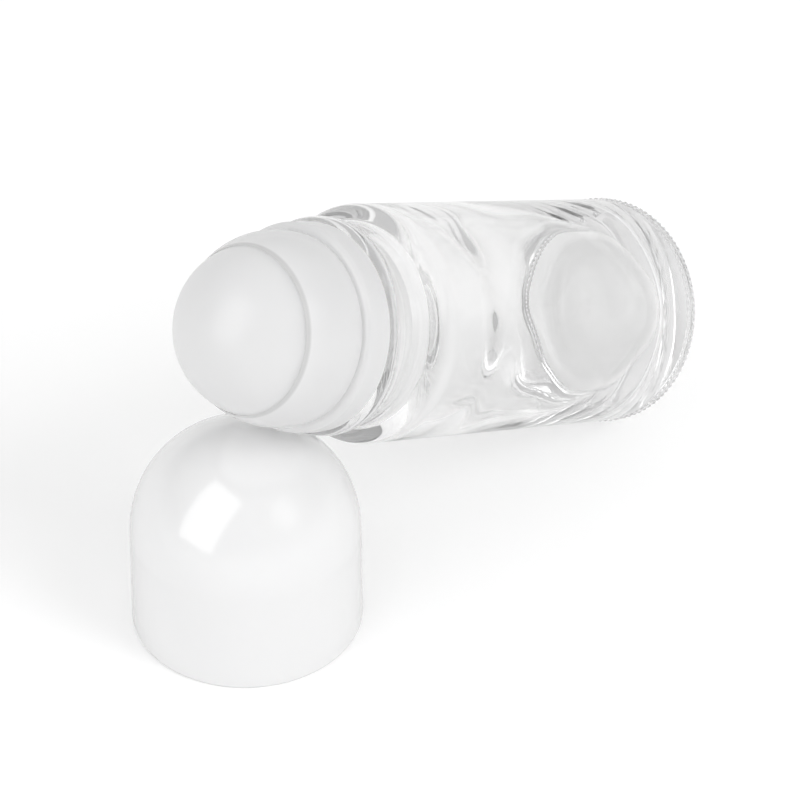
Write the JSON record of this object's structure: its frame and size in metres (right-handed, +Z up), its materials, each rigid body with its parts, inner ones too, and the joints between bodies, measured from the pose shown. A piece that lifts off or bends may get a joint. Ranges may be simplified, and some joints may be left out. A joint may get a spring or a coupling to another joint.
{
  "type": "roll-on bottle",
  "caption": "Clear glass roll-on bottle with a ball in a plug-in housing, its neck lying on its white dome cap.",
  "frame": {"origin": "on the floor, in the middle of the length and width that the bottle and its cap cover", "axes": "+Z up, +X along the floor from the cap to the bottle's base, +Y to the side"},
  "size_m": [0.1172, 0.04, 0.0723],
  "materials": {
    "clear_glass": "clear flint glass",
    "natural_plastic": "satin, milky",
    "ball_plastic": "smooth, low gloss",
    "white_plastic": "gloss"
  },
  "bodies": {
    "cap": {"dome_cap": "white_plastic"},
    "bottle": {"glass_bottle": "clear_glass", "ball_housing": "natural_plastic"},
    "ball": {"roller_ball": "ball_plastic"}
  },
  "joints": [
    {"name": "bottle_lift", "type": "slide", "parent": "cap", "child": "bottle", "axis": [0, 0, 1], "range_m": [0, 0.06]},
    {"name": "ball_roll", "type": "hinge", "parent": "bottle", "child": "ball", "pos_m": [-0.03442, 0, 0.05792], "axis": [0, 1, 0], "continuous": true}
  ]
}
